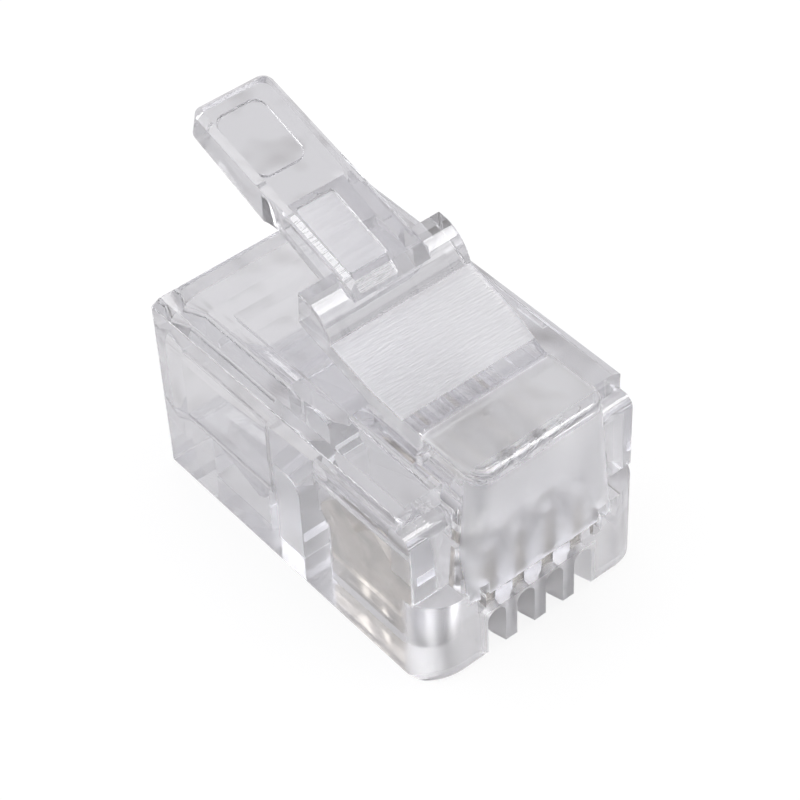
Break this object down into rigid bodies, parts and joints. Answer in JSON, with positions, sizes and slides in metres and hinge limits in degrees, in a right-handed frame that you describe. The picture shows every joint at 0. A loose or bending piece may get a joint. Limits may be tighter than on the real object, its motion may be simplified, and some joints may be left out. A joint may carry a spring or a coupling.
{
  "type": "four position modular plug",
  "caption": "Clear modular plug for flat handset cord, with a sprung locking latch, a comb front and gold-plated piercing contacts.",
  "frame": {"origin": "under the middle of the whole plug, on the plane of its contact side", "axes": "+X across the contact row, +Y from the mating nose to the cord end, +Z from the contact side to the latch side"},
  "size_m": [0.0076, 0.0128, 0.0109],
  "materials": {
    "clear_polycarbonate": "clear, with a polished surface and a satin latch ramp",
    "gold_plate": "bright gold plate over phosphor bronze"
  },
  "bodies": {
    "body": {"housing": "clear_polycarbonate", "contact_1": "gold_plate", "contact_2": "gold_plate", "contact_3": "gold_plate", "contact_4": "gold_plate"},
    "latch": {"latch": "clear_polycarbonate"}
  },
  "joints": [
    {"name": "latch_press", "type": "hinge", "parent": "body", "child": "latch", "pos_m": [0, -0.00408, 0.00675], "axis": [-1, 0, 0], "range_deg": [0, 19], "stiffness_Nm_per_rad": 0.004}
  ]
}
